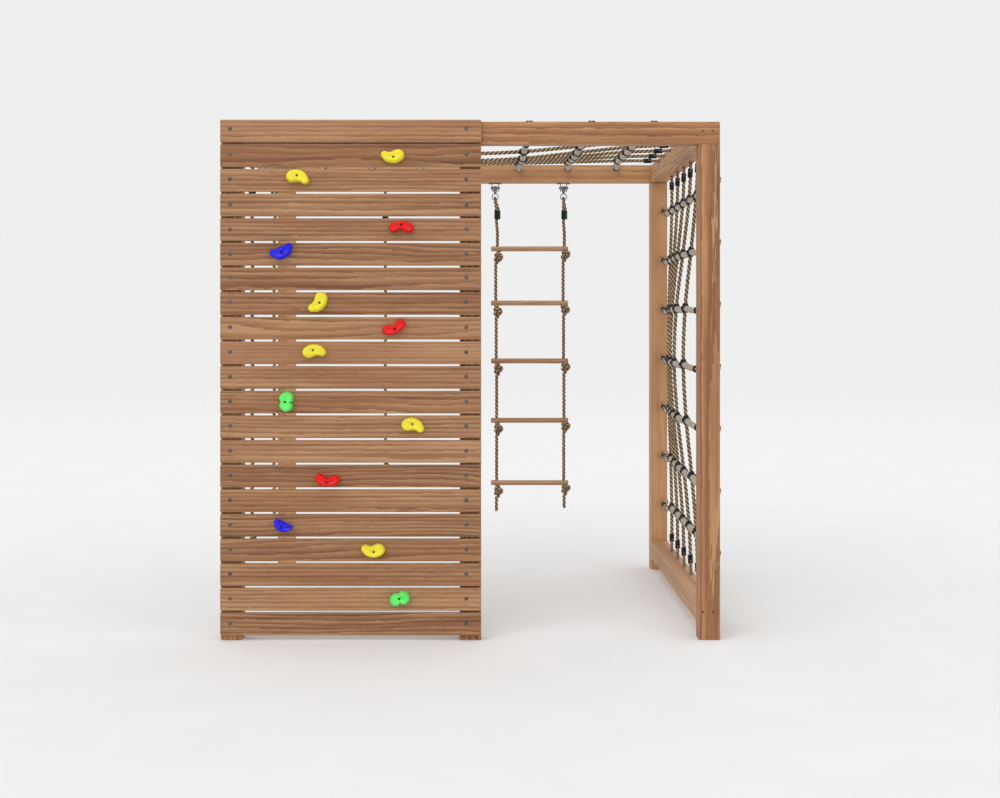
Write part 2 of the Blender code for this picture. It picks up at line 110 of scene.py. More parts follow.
SIDE_ROPE_X = -0.998
SIDE_ROPE_SPREAD = 0.82
SIDE_ROPE_END = 0.29

# how the ropes are laid and the nets put together
LAY = 0.064  # one turn of a strand
STRANDS_R = 0.0092  # over the strands' backs
ROPE_STEP = 0.004
ROPE_POINTS = 24
KNOT_HALF = 0.030
KNOT_STRAND_R = 0.0088
CELL_SAG = 0.009
SLEEVE_R = 0.0135
END_SLEEVE = 0.215  # how far the last sleeve reaches from its crossing
CLAMP_HALF = 0.022
LOOP_R = 0.0075
LOOP_LAY = 0.045
LOOP_POINTS_ROUND = 18
FERRULE_RIBS = (-0.013, 0.0, 0.013)

# hold shapes: skeleton length, its rise in the middle, and radii along it from end to end
HOLD_SHAPES = {
    "bean": (0.054, 0.010, (0.0257, 0.0265, 0.0245, 0.0225, 0.0170)),
    "arch": (0.062, 0.012, (0.0200, 0.0185, 0.0165, 0.0200, 0.0205)),
    "crescent": (0.070, 0.015, (0.0145, 0.0245, 0.0260, 0.0265, 0.0149)),
    "half_moon": (0.052, 0.009, (0.0125, 0.0186, 0.0213, 0.0222, 0.0140)),
    "waist": (0.034, 0.004, (0.0250, 0.0235, 0.0175, 0.0280, 0.0260)),
}
# node, tilt in degrees, shape
HOLDS = (
    ("hold_01_yellow", 179, "bean"),
    ("hold_02_yellow", -17, "bean"),
    ("hold_03_red", -1, "arch"),
    ("hold_04_blue", 205, "crescent"),
    ("hold_05_yellow", 228, "bean"),
    ("hold_06_red", 206, "arch"),
    ("hold_07_yellow", -1, "bean"),
    ("hold_08_green", 86, "waist"),
    ("hold_09_yellow", -17, "bean"),
    ("hold_10_red", 176, "arch"),
    ("hold_11_blue", 155, "half_moon"),
    ("hold_12_yellow", 175, "bean"),
    ("hold_13_green", 13, "waist"),
)


# ---------------- materials


class Graph:
    """A material and short ways to add nodes to it."""

    def __init__(self, name, roughness=0.5, metallic=0.0):
        self.material = bpy.data.materials.new(name)
        self.material.use_nodes = True
        self.nodes = self.material.node_tree.nodes
        self.links = self.material.node_tree.links
        self.shader = self.nodes["Principled BSDF"]
        self.shader.inputs["Roughness"].default_value = roughness
        self.shader.inputs["Metallic"].default_value = metallic

    def put(self, socket, value):
        if isinstance(value, bpy.types.NodeSocket):
            self.links.new(value, socket)
        else:
            socket.default_value = value

    def add(self, kind, inputs, **settings):
        node = self.nodes.new(kind)
        for key, value in settings.items():
            setattr(node, key, value)
        for key, value in inputs.items():
            self.put(node.inputs[key], value)
        return node

    def value(self, name):
        return self.add("ShaderNodeAttribute", {}, attribute_name=name).outputs["Fac"]

    def vector(self, name):
        return self.add("ShaderNodeAttribute", {}, attribute_name=name).outputs["Vector"]

    def place(self):
        return self.add("ShaderNodeTexCoord", {}).outputs["Object"]

    def scaled(self, vector, scale):
        node = self.add("ShaderNodeMapping", {"Vector": vector, "Scale": scale})
        return node.outputs["Vector"]

    def noise(self, vector, scale=1.0, detail=3.0, roughness=0.5, distortion=0.0):
        inputs = {"Vector": vector, "Scale": scale, "Detail": detail}
        inputs.update({"Roughness": roughness, "Distortion": distortion})
        return self.add("ShaderNodeTexNoise", inputs).outputs["Fac"]

    def math(self, operation, a, b=0.0, clamp=False):
        node = self.add("ShaderNodeMath", {0: a, 1: b}, operation=operation, use_clamp=clamp)
        return node.outputs[0]

    def ramp(self, factor, *stops):
        """Stops are (place, grey or colour)."""
        node = self.add("ShaderNodeValToRGB", {"Fac": factor})
        while len(node.color_ramp.elements) < len(stops):
            node.color_ramp.elements.new(0.5)
        for element, (place, colour) in zip(node.color_ramp.elements, stops):
            element.position = place
            if isinstance(colour, (int, float)):
                colour = (colour,) * 3
            element.color = (*colour, 1.0)
        return node.outputs["Color"]

    def mix(self, factor, a, b, blend="MIX"):
        node = self.nodes.new("ShaderNodeMix")
        node.data_type = "RGBA"
        node.blend_type = blend
        for index, value in ((0, factor), (6, a), (7, b)):
            if isinstance(value, tuple):
                value = (*value, 1.0)
            self.put(node.inputs[index], value)
        return node.outputs[2]

    def bump(self, height, distance):
        inputs = {"Height": height, "Distance": distance, "Strength": 1.0}
        return self.add("ShaderNodeBump", inputs).outputs["Normal"]

    def finish(self, colour, roughness=None, normal=None):
        self.put(self.shader.inputs["Base Color"], colour)
        if roughness is not None:
            self.put(self.shader.inputs["Roughness"], roughness)
        if normal is not None:
            self.put(self.shader.inputs["Normal"], normal)
        return self.material


def wood(name, dark, middle, light, line_scale=1.0):
    """Planed, oiled softwood: growth rings cut lengthwise, fibres, pores and worn edges.

    The attribute grain holds the timber's own place, its first axis along the grain.
    """
    g = Graph(name)
    grain = g.vector("grain")
    drift = g.noise(g.scaled(grain, (0.9, 5.0, 5.0)), detail=2.0)
    bent = g.add(
        "ShaderNodeVectorMath",
        {0: grain, 1: g.mix(1.0, drift, (0.0, 0.06, 0.045), "MULTIPLY")},
        operation="ADD",
    ).outputs[0]
    rings = g.add(
        "ShaderNodeTexWave",
        {
            "Vector": g.scaled(bent, (0.06, 1.0, 1.0)),
            "Scale": 17.0 * line_scale,
            "Distortion": 2.2,
            "Detail": 2.0,
            "Detail Scale": 9.0,
            "Detail Roughness": 0.6,
        },
        wave_type="RINGS",
        rings_direction="X",
        wave_profile="SAW",
    ).outputs["Fac"]
    streaks = g.noise(g.scaled(bent, (1.4, 75.0, 75.0)), detail=5.0, roughness=0.62)
    bands = g.noise(g.scaled(grain, (0.7, 22.0, 22.0)), detail=2.0)
    fibres = g.noise(g.scaled(grain, (22.0, 900.0, 900.0)), detail=2.0, roughness=0.6)
    pores = g.ramp(g.noise(g.scaled(grain, (55.0, 1500.0, 1500.0))), (0.30, 0.0), (0.42, 1.0))
    lines = g.math("MULTIPLY", rings, 0.34)
    lines = g.math("ADD", lines, g.math("MULTIPLY", streaks, 0.62))
    lines = g.math("ADD", lines, g.math("MULTIPLY", bands, 0.42))
    # the per-timber value lightens the colour: a random tone on most timbers, and painted light on
    # those made paler because they fall in shade
    lines = g.math("ADD", lines, g.math("MULTIPLY", g.value("tint"), 0.26))
    colour = g.ramp(lines, (0.50, dark), (0.74, middle), (0.98, light))
    reds = g.noise(g.scaled(grain, (1.1, 9.0, 9.0)), detail=1.0)
    colour = g.mix(
        g.ramp(reds, (0.42, 0.0), (0.70, 0.5)), colour, (0.27, 0.098, 0.040), "MIX"
    )
    colour = g.mix(0.35, colour, g.ramp(fibres, (0.25, 0.45), (0.6, 1.0)), "MULTIPLY")
    colour = g.mix(0.25, colour, pores, "MULTIPLY")
    worn = g.math("MULTIPLY", g.value("edge"), g.noise(g.place(), scale=40.0), clamp=True)
    colour = g.mix(worn, colour, (0.50, 0.31, 0.17))
    relief = g.math("ADD", g.math("MULTIPLY", streaks, 0.6), g.math("MULTIPLY", fibres, 0.5))
    relief = g.math("ADD", relief, g.math("MULTIPLY", pores, 0.25))
    rough = g.ramp(lines, (0.45, 0.66), (1.0, 0.52))
    g.shader.inputs["Specular IOR Level"].default_value = 0.35
    return g.finish(colour, rough, g.bump(relief, 0.0004))


def rope_fibre(name, dark, middle, light):
    """Laid rope: pale yarns along the rope on the strands, and painted shade, near black, where the
    strands meet.

    The attribute straight holds the rope's place as if it were straight, its axis last.
    """
    g = Graph(name, roughness=0.85)
    straight = g.vector("straight")
    groove = g.value("groove")
    yarns = g.noise(g.scaled(straight, (1100.0, 1100.0, 70.0)), detail=3.0, roughness=0.7)
    blotches = g.noise(g.scaled(straight, (40.0, 40.0, 22.0)), detail=2.0)
    shade = g.math("ADD", g.math("MULTIPLY", yarns, 0.7), g.math("MULTIPLY", blotches, 0.4))
    colour = g.ramp(shade, (0.38, dark), (0.53, middle), (0.70, light))
    # painted shade: the grooves between the strands are coloured near black
    colour = g.mix(groove, colour, (0.018, 0.010, 0.004))
    height = g.math("SUBTRACT", yarns, groove)
    g.shader.inputs["Sheen Weight"].default_value = 0.25
    return g.finish(colour, normal=g.bump(height, 0.0009))


def moulded(name, colour, roughness, grit, grit_size, shine=0.5):
    """Cast resin or moulded plastic: a sandy or orange-peel skin, faint blotches and scuffs."""
    g = Graph(name, roughness)
    place = g.place()
    sand = g.noise(place, scale=grit_size, detail=2.0)
    blotches = g.noise(place, scale=28.0, detail=3.0)
    scuffs = g.noise(g.scaled(place, (60.0, 60.0, 260.0)), detail=4.0, distortion=0.8)
    paler = tuple(c + (1.0 - c) * 0.12 for c in colour)
    deeper = tuple(c * 0.84 for c in colour)
    body = g.ramp(blotches, (0.32, deeper), (0.55, colour), (0.8, colour))
    body = g.mix(g.ramp(scuffs, (0.62, 0.0), (0.74, 0.5)), body, paler)
    rough = g.ramp(scuffs, (0.35, roughness), (0.8, min(1.0, roughness + 0.25)))
    g.shader.inputs["Specular IOR Level"].default_value = shine
    return g.finish(body, rough, g.bump(sand, grit))


def galvanised(name, dark, light):
    """Zinc-coated steel with its spangle and a few dull patches."""
    g = Graph(name, metallic=1.0)
    place = g.place()
    spangle = g.add(
        "ShaderNodeTexVoronoi", {"Vector": place, "Scale": 330.0}, feature="F1"
    ).outputs["Color"]
    grey = g.add("ShaderNodeSeparateColor", {0: spangle}).outputs[0]
    dull = g.noise(place, scale=120.0, detail=4.0)
    colour = g.mix(
        g.ramp(dull, (0.4, 0.0), (0.65, 0.8)),
        g.ramp(grey, (0.0, dark), (1.0, light)),
        (0.6 * dark, 0.6 * dark, 0.62 * dark),
    )
    rough = g.ramp(dull, (0.3, 0.28), (0.7, 0.55))
    return g.finish(colour, rough, g.bump(dull, 0.0002))


def floor_paint(reach):
    """A pale matt floor that fades out into the plain background."""
    g = Graph("floor", roughness=0.9)
    grain = g.noise(g.place(), scale=3.0, detail=4.0)
    g.finish(g.ramp(grain, (0.3, 0.855), (0.7, 0.875)))
    g.shader.inputs["Specular IOR Level"].default_value = 0.15
    away = g.add("ShaderNodeVectorMath", {0: g.place()}, operation="LENGTH").outputs["Value"]
    near_to_far = g.add(
        "ShaderNodeMapRange",
        {"Value": away, "From Min": 0.12 * reach, "From Max": 0.9 * reach},
        interpolation_type="SMOOTHSTEP",
    ).outputs[0]
    clear = g.nodes.new("ShaderNodeBsdfTransparent")
    both = g.add(
        "ShaderNodeMixShader", {0: near_to_far, 1: g.shader.outputs[0], 2: clear.outputs[0]}
    )
    g.links.new(both.outputs[0], g.nodes["Material Output"].inputs["Surface"])
    return g.material


MATERIALS = {
    "wood_frame": wood(
        "wood_frame", (0.19, 0.076, 0.029), (0.39, 0.182, 0.076), (0.58, 0.32, 0.15)
    ),
    "wood_board": wood(
        "wood_board", (0.15, 0.061, 0.026), (0.31, 0.150, 0.066), (0.47, 0.26, 0.13), 1.2
    ),
    "wood_rung": wood(
        "wood_rung", (0.33, 0.17, 0.083), (0.45, 0.25, 0.132), (0.57, 0.35, 0.195), 1.6
    ),
    "rope": rope_fibre("rope", (0.22, 0.125, 0.053), (0.40, 0.255, 0.125), (0.62, 0.44, 0.25)),
    "net_rope": rope_fibre("net_rope", (0.21, 0.12, 0.050), (0.40, 0.26, 0.13), (0.64, 0.46, 0.27)),
    "net_sleeve": moulded("net_sleeve", (0.44, 0.365, 0.285), 0.5, 0.0003, 900.0),
    "black_plastic": moulded("black_plastic", (0.005, 0.005, 0.0055), 0.2, 0.0002, 700.0, 0.25),
    "hold_yellow": moulded("hold_yellow", (0.86, 0.75, 0.030), 0.60, 0.0006, 1100.0),
    "hold_red": moulded("hold_red", (0.76, 0.002, 0.002), 0.14, 0.0002, 250.0, 0.3),
    "hold_blue": moulded("hold_blue", (0.012, 0.008, 0.70), 0.14, 0.0002, 250.0, 0.3),
    "hold_green": moulded("hold_green", (0.12, 0.86, 0.14), 0.45, 0.0005, 900.0),
    "steel": galvanised("steel", 0.17, 0.40),
    "screw_steel": galvanised("screw_steel", 0.10, 0.24),
}


# ---------------- meshes


class Shape:
    """Points, faces and per-point values that become one mesh."""

    def __init__(self):
        self.points = []
        self.faces = []
        self.values = {}
        self.count = 0

    def add(self, points, faces, **values):
        points = np.asarray(points, float).reshape(-1, 3)
        self.points.append(points)
        self.faces += [tuple(i + self.count for i in face) for face in faces]
        for key, value in values.items():
            self.values.setdefault(key, []).append(np.asarray(value, float))
        self.count += len(points)
        return self


def piece(name, shape, material, body=BODY, nodes=(), sharp=35):
    """The shape as a shown piece on its body."""
    mesh = bpy.data.meshes.new(name)
    mesh.from_pydata(np.concatenate(shape.points).tolist(), [], shape.faces)
    for key, values in shape.values.items():
        values = np.concatenate(values)
        kind, field = ("FLOAT_VECTOR", "vector") if values.ndim == 2 else ("FLOAT", "value")
        layer = mesh.attributes.new(key, kind, "POINT")
        layer.data.foreach_set(field, values.ravel().astype(np.float32))
    mesh.materials.append(MATERIALS[material])
    mesh.shade_smooth()
    mesh.set_sharp_from_angle(angle=math.radians(sharp))
    obj = bpy.data.objects.new(name, mesh)
    bpy.context.scene.collection.objects.link(obj)
    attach(obj, body)
    if nodes:
        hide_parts(*nodes)
    return obj


def grid_faces(rings, segments, closed=False):
    """Quads between rings of points, with a face over each end unless the rings close."""
    faces = []
    for i in range(rings if closed else rings - 1):
        a, b = i * segments, (i + 1) % rings * segments
        for j in range(segments):
            n = (j + 1) % segments
            faces.append((a + j, a + n, b + n, b + j))
    if not closed:
        faces.append(tuple(reversed(range(segments))))
        faces.append(tuple(range((rings - 1) * segments, rings * segments)))
    return faces


def smooth_route(points, step):
    """Points about step apart on a smooth curve through the given points."""
    points = [Vector(p) for p in points]
    ends = [points[0] * 2 - points[1]] + points + [points[-1] * 2 - points[-2]]
    route = []
    for a, b, c, d in zip(ends, ends[1:], ends[2:], ends[3:]):
        count = max(1, round((c - b).length / step))
        for k in range(count):
            t = k / count
            square, cube = 2 * a - 5 * b + 4 * c - d, 3 * b - a - 3 * c + d
            route.append(0.5 * (2 * b + (c - a) * t + square * t * t + cube * t * t * t))
    return route + [points[-1]]


def lengths(points):
    """The distance along a route to each of its points."""
    steps = np.linalg.norm(np.diff(points, axis=0), axis=1)
    return np.concatenate([[0.0], np.cumsum(steps)])


def cut(points, start, end, step):
    """The route from start to end, distances along it, with its points step apart."""
    points = np.array(points, float)
    along = lengths(points)
    places = np.linspace(start, end, max(2, round((end - start) / step) + 1))
    return np.stack([np.interp(places, along, points[:, k]) for k in range(3)], axis=1)


def sweep(path, radii, segments, section=None, turn=0.0):
    """A closed tube: its points, its faces, and its points as if it were straight.

    section gives the share of the radius at each angle, and turn the twist a metre.
    """
    path = np.array(path, float)
    tangents = np.gradient(path, axis=0)
    tangents /= np.linalg.norm(tangents, axis=1)[:, None]
    normal = np.array(ASKEW)
    across, beside = [], []
    for tangent in tangents:
        normal = normal - tangent * normal.dot(tangent)
        normal /= np.linalg.norm(normal)
        across.append(normal)
        beside.append(np.cross(tangent, normal))
    along = lengths(path)
    angle = np.arange(segments) * 2 * math.pi / segments
    share = np.ones(segments) if section is None else section(angle)
    turned = angle[None, :] + (along * turn)[:, None]
    radius = np.broadcast_to(np.asarray(radii, float), (len(path),))[:, None] * share[None, :]
    x, y = np.cos(turned) * radius, np.sin(turned) * radius
    across, beside = np.array(across)[:, None], np.array(beside)[:, None]
    points = path[:, None] + across * x[..., None] + beside * y[..., None]
    straight = np.stack([x, y, np.broadcast_to(along[:, None], x.shape)], axis=-1)
    return points.reshape(-1, 3), grid_faces(len(path), segments), straight.reshape(-1, 3)


def lathe(shape, origin, axis, profile, segments=24):
    """Adds a turned shape; profile lists (height along the axis, radius)."""
    axis = Vector(axis).normalized()
    side = axis.orthogonal().normalized()
    beside = axis.cross(side)
    points = []
    for height, radius in profile:
        for k in range(segments):
            angle = 2 * math.pi * k / segments
            out = side * math.cos(angle) * radius + beside * math.sin(angle) * radius
            points.append(Vector(origin) + axis * height + out)
    return shape.add(points, grid_faces(len(profile), segments))


def torus(shape, centre, axis, major, minor, segments=40, sides=14):
    """Adds a ring of round wire."""
    axis = Vector(axis).normalized()
    side = axis.orthogonal().normalized()
    beside = axis.cross(side)
    points = []
    for k in range(segments):
        angle = 2 * math.pi * k / segments
        out = side * math.cos(angle) + beside * math.sin(angle)
        for n in range(sides):
            turn = 2 * math.pi * n / sides
            place = out * (major + minor * math.cos(turn)) - axis * minor * math.sin(turn)
            points.append(Vector(centre) + place)
    return shape.add(points, grid_faces(segments, sides, closed=True))


def plate(shape, outline, origin, out, right, thickness, chamfer=0.0006):
    """Adds a plate of that outline, (right, up) pairs, with chamfered edges."""
    out, right = Vector(out).normalized(), Vector(right).normalized()
    up = out.cross(right)
    middle = Vector((0.0, 0.0))
    for p in outline:
        middle += Vector(p) / len(outline)
    levels = ((0.0, chamfer), (chamfer, 0.0), (thickness - chamfer, 0.0), (thickness, chamfer))
    points = []
    for height, inset in levels:
        for p in outline:
            place = Vector(p) + (middle - Vector(p)).normalized() * inset
            points.append(Vector(origin) + out * height + right * place.x + up * place.y)
    return shape.add(points, grid_faces(len(levels), len(outline)))


def rounded_outline(width, height, radius, steps=5):
    """A rectangle with round corners, about its middle."""
    points = []
    for k, (x, y) in enumerate(((1, 1), (-1, 1), (-1, -1), (1, -1))):
        for n in range(steps + 1):
            angle = math.pi / 2 * (k + n / steps)
            round_x, round_y = radius * math.cos(angle), radius * math.sin(angle)
            corner = (x * (width / 2 - radius), y * (height / 2 - radius))
            points.append((corner[0] + round_x, corner[1] + round_y))
    return points


def regular_outline(sides, radius):
    """A regular polygon, such as a bolt head's."""
    turns = [2 * math.pi * (k + 0.5) / sides for k in range(sides)]
    return [(radius * math.cos(t), radius * math.sin(t)) for t in turns]


# ---------------- camera


CAMERA_DISTANCE = 7.09
CAMERA_HEIGHT = 1.343

def make_camera():
    """Straight on, shifted sideways and down, from about 7 m before the wall."""
    data = bpy.data.cameras.new("camera")
    data.lens = 61.0
    data.shift_x = 0.020
    data.shift_y = -0.080
    data.clip_end = 200.0
    camera = bpy.data.objects.new("camera", data)
    camera.location = (0.04, FRONT - CAMERA_DISTANCE, CAMERA_HEIGHT)
    camera.rotation_euler = (math.radians(90), 0, 0)
    bpy.context.scene.collection.objects.link(camera)
    bpy.context.scene.camera = camera


# ---------------- ropes


def strands(angle):
    """A laid rope's section: the share of its radius at each angle, three strands round."""
    third = 2 * math.pi / 3
    a = (np.asarray(angle) + third / 2) % third - third / 2
    strand, middle = 0.464, 0.536
    reach = np.sqrt(np.clip(strand**2 - (middle * np.sin(a)) ** 2, 0.0, None))
    return np.maximum(middle * np.cos(a) + reach, 0.64)


def add_rope(shape, path, radius=STRANDS_R, lay=LAY, segments=ROPE_POINTS):
    """Adds three-strand rope along a path of even points, its cut ends a little rounded."""
    radii = np.full(len(path), radius)
    radii[[0, -1]] *= 0.72
    radii[[1, -2]] *= 0.93
    points, faces, straight = sweep(path, radii, segments, strands, turn=-2 * math.pi / lay)
    share = np.tile(strands(np.arange(segments) * 2 * math.pi / segments), len(path))
    # groove marks where the strands meet: it deepens the relief and carries the painted shade there
    groove = np.clip((0.95 - share) / 0.20, 0.0, 1.0)
    return shape.add(points, faces, straight=straight, groove=groove)


def tight_knot():
    """An overhand knot's middle line, pulled tight: from its top end down to its low end.

    A loose knot's curve is shortened step by step, its turns kept a rope's thickness apart.
    """
    count, rounds, loose = 84, 700, 420
    t = np.linspace(2.12, -2.12, 200)
    curve = np.stack([t**3 - 3 * t, t**4 - 4 * t**2 + 1.8, 10 * t - t**5], axis=1)
    curve *= (0.006, 0.006, -0.004)
    top = np.array((0.0, 0.0, KNOT_HALF))
    low = np.array((0.0, 0.0, -KNOT_HALF))
    line = np.vstack([top, curve, low])
    line = cut(line, 0.0, lengths(line)[-1], lengths(line)[-1] / (count - 1))
    start = lengths(line)[-1] / (len(line) - 1)
    final = (2 * KNOT_HALF + 20.4 * KNOT_STRAND_R) / (len(line) - 1)
    order = np.arange(len(line))
    apart = np.abs(order[:, None] - order[None, :])
    for k in range(rounds):
        link = start + (final - start) * min(1.0, k / loose)
        for _ in range(3):
            step = np.diff(line, axis=0)
            move = step * (1 - link / np.linalg.norm(step, axis=1)[:, None]) * 0.45
            line[:-1] += move
            line[1:] -= move
        gap = line[:, None] - line[None, :]
        far = np.linalg.norm(gap, axis=2) + 1e-9
        push = np.clip(2 * KNOT_STRAND_R - far, 0.0, None)
        push[apart <= math.ceil(math.pi * KNOT_STRAND_R / link)] = 0.0
        line += (gap / far[..., None] * push[..., None]).sum(axis=1) * 0.25
        line[1:-1] += 0.06 * (line[:-2] + line[2:] - 2 * line[1:-1])
        line[0], line[-1] = top, low
        line[1], line[-2] = top - (0.0, 0.0, link), low + (0.0, 0.0, link)
    return line


KNOT = tight_knot()


def direction(turn):
    """The level direction that far round from +X."""
    return Vector((math.cos(turn), math.sin(turn), 0))


def hanging_route(hook, line, beam_turn, knots, steps, end):
    """From the short end in the sleeve, over the ring's wire, and down to the rope's end."""
    reach = ROPE_R + RING_WIRE_R + 2 * GAP
    through = direction(beam_turn + math.pi / 2)
    beside = direction(beam_turn + SLEEVE_TURN) * (ROPE_R + GAP)
    top = Vector((*hook, RING_Z - RING_R))
    below = Vector((*line, SLEEVE_TOP))
    down = Vector((0, 0, -SLEEVE_HEIGHT))
    loop = [below + beside + down / 2, below + beside]
    for k in range(LOOP_POINTS):
        angle = math.pi * k / (LOOP_POINTS - 1)
        loop.append(top + through * reach * math.cos(angle) + UP * reach * math.sin(angle))
    loop += [below - beside, below - beside + down, below + down * 2.5]
    route = smooth_route(loop, ROPE_STEP)
    start = route[-1]
    for knot, above, below in zip(knots, steps, steps[1:]):
        turn = RNG.uniform(-0.35, 0.35) - math.pi / 2
        x, y, z = KNOT.T
        along = (KNOT_HALF - z) / (2 * KNOT_HALF)
        aside = x * math.cos(turn) - y * math.sin(turn) - above + (above - below) * along
        tied = np.stack([aside, x * math.sin(turn) + y * math.cos(turn), z], axis=1)
        tied += (*line, knot)
        straight = [start, Vector(tied[0]) + UP * 0.012, Vector(tied[0])]
        route += smooth_route(straight, ROPE_STEP)[1:] + [Vector(p) for p in tied[1:]]
        start = route[-1]
    route += smooth_route([start, Vector((start.x, start.y, end))], ROPE_STEP)[1:]
    return cut(route, 0.0, lengths(np.array(route))[-1], 0.0034)


def hanging_rope(name, body, hook, line, beam_turn, knots, steps, end):
    """A rope on its hook, with the knots tied in it and the sleeve that clamps its loop."""
    path = hanging_route(hook, line, beam_turn, knots, steps, end)
    rope = piece(name + "_strands", add_rope(Shape(), path), "rope", body, [name], 180)
    sleeve = Shape()
    place = Vector((*line, SLEEVE_TOP - SLEEVE_HEIGHT))
    right = direction(beam_turn + SLEEVE_TURN)
    outline = rounded_outline(*SLEEVE_SIZE, 0.0095)
    plate(sleeve, outline, place, UP, right, SLEEVE_HEIGHT, 0.0022)
    for k in range(3):
        height = SLEEVE_HEIGHT * (k + 0.8) / 3.6
        rib = rounded_outline(SLEEVE_SIZE[0] + 0.0014, SLEEVE_SIZE[1] + 0.0014, 0.0102)
        plate(sleeve, rib, place + UP * height, UP, right, 0.0035, 0.0009)
    clamp = piece(name + "_sleeve", sleeve, "black_plastic", body)


def make_hanging_ropes():
    """The ladder's two ropes and the three single ones."""
    y = BACK_BEAM_Y
    rungs = [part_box(f"ladder_rung_{k}") for k in range(5, 0, -1)]
    heights = [(low.z + high.z) / 2 for low, high in rungs]
    sides = zip(
        ("left", "right"), LADDER_HOOKS, LADDER_LINES, LADDER_STEPS, LADDER_ENDS, KNOT_DROPS
    )
    for side, hook_x, line_x, steps, end, drop in sides:
        knots = [z - drop for z in heights]
        name = f"ladder_rope_{side}"
        hanging_rope(name, "rope_ladder", (hook_x, y), (line_x, y), 0, knots, steps, end)
    tail = KNOT_HALF + 0.008
    place = (BACK_ROPE_X, y)
    knots = [BACK_ROPE_END + tail]
    name = "climbing_rope_back"
    hanging_rope(name, "back_rope", place, place, 0, knots, (0, 0), BACK_ROPE_END)
    for label, side in (("front", -1), ("rear", 1)):
        place = (SIDE_ROPE_X, MIDDLE + side * SIDE_ROPE_SPREAD / 2)
        name, body = f"climbing_rope_left_{label}", f"left_{label}_rope"
        knots = [SIDE_ROPE_END + tail]
        turn = math.pi / 2
        hanging_rope(name, body, place, place, turn, knots, (0, 0), SIDE_ROPE_END)


# ---------------- nets


def spread(count, pitch, middle):
    """The places of count ropes, pitch apart, about the middle."""
    return [middle + (k - (count - 1) / 2) * pitch for k in range(count)]


def hump(share, lean):
    """0 at both ends and 1 between them, before the middle where lean is under 1."""
    return math.sin(math.pi * share**lean) ** 2


def side_net_x(y, z):
    """The side net's depth at a place: it bulges inwards."""
    along = hump((y - FRONT - POST) / (BACK - FRONT - 2 * POST), SIDE_NET_LEANS[0])
    up = hump((z - LOW_BEAM_TOP) / (BEAM_UNDER - LOW_BEAM_TOP), SIDE_NET_LEANS[1])
    return RIGHT - SIDE_NET_INSET - SIDE_NET_BULGE * along * up


def roof_net_z(x, y):
    """The roof net's height at a place: it sags."""
    across = hump((x - LEFT - POST) / (RIGHT - LEFT - 2 * POST), 1)
    along = hump((y - FRONT - POST) / (BACK - FRONT - 2 * POST), ROOF_NET_LEAN)
    return BEAM_TOP - ROOF_NET_INSET - ROOF_NET_SAG * across * along


def end_loop(shapes, face, inwards, outer, inset, reach, spread_half):
    """Adds a rope end's ferrule and its loop: two strands into the timber, over its outer side.

    face is where the rope's line meets the timber, inwards points from there into the net,
    outer is square to it, towards the timber's outer side inset away, and reach is the
    ferrule's place.
    """
    along = inwards.cross(outer).normalized()
    ferrule = face + inwards * reach
    into = -outer.cross(along).normalized()
    into = into if into.dot(inwards) < 0 else -into
    half = (
        (ferrule, 0.0050),
        (ferrule.lerp(face, 0.45), 0.0068),
        (face, 0.0115),
        (face + into * 0.026, spread_half),
        (face + into * 0.040 + outer * 0.010, spread_half),
        (face + into * 0.045 + outer * (inset - 0.004), spread_half),
        (face + into * 0.045 + outer * (inset + 0.0022), spread_half * 0.75),
        (face + into * 0.045 + outer * (inset + 0.0034), spread_half * 0.25),
    )
    route = [place + along * beside for place, beside in half]
    route += [place - along * beside for place, beside in reversed(half)]
    path = smooth_route(route, 0.0045)
    path = cut(path, 0.0, lengths(np.array(path))[-1], 0.0045)
    add_rope(shapes["loops"], path, LOOP_R, LOOP_LAY, LOOP_POINTS_ROUND)
    profile = ((-0.021, 0.0095), (-0.0195, 0.0118), (0.0195, 0.0118), (0.021, 0.0095))
    lathe(shapes["ferrules"], ferrule, inwards, profile)
    for offset in FERRULE_RIBS:
        rib = ((offset - 0.0024, 0.0115), (offset - 0.0014, 0.0127))
        rib += ((offset + 0.0014, 0.0127), (offset + 0.0024, 0.0115))
        lathe(shapes["ferrules"], ferrule, inwards, rib)


def net_rope(net, name, route, ends, outer, inset, spread_half, step, pieces):
    """One rope of a net, cut to run between its two ferrules, and what is on it."""
    shapes = {"loops": Shape(), "ferrules": Shape()}
    total = lengths(np.array(route, float))[-1]
    places = [Vector(p) for p in route]
    for face, toward, reach in (
        (places[0], cut(route, 0.0, 0.2, 0.1)[-1], ends[0]),
        (places[-1], cut(route, total - 0.2, total, 0.1)[0], ends[1]),
    ):
        inwards = (Vector(toward) - face).normalized()
        end_loop(shapes, face, inwards, Vector(outer), inset, reach, spread_half)
    path = cut(route, ends[0] - 0.012, total - ends[1] + 0.012, step)
    rope = piece(name, add_rope(Shape(), path), "net_rope", BODY, [net], 180)
    with_pieces = [
        piece(name + "_loops", shapes["loops"], "net_rope", sharp=180),
        piece(name + "_ferrules", shapes["ferrules"], "black_plastic"),
    ]
    for label, shape, material in pieces:
        with_pieces.append(piece(f"{name}_{label}", shape, material))


def sagging(places):
    """A cross rope's route: between its crossings it hangs a little."""
    route = []
    for a, b in zip(places, places[1:]):
        a, b = Vector(a), Vector(b)
        sag = CELL_SAG * (b - a).length / NET_CELL
        steps = 16
        for k in range(steps):
            t = k / steps
            route.append(a.lerp(b, t) - UP * sag * 4 * t * (1 - t))
    return route + [Vector(places[-1])]


def add_sleeve(shape, route, start, end):
    """Adds one tube sleeve on the rope."""
    path = cut(route, start, end, (end - start) / 14)
    points, faces, _ = sweep(path, np.full(len(path), SLEEVE_R), 24)
    shape.add(points, faces)


def add_rim(shape, place, axis):
    """Adds the black cap round a sleeve's end; axis points out of the sleeve."""
    rim = ((-0.0060, 0.0136), (-0.0055, 0.0158), (0.0020, 0.0160), (0.0030, 0.0145))
    lathe(shape, place, axis, rim + ((0.0032, 0.010),))


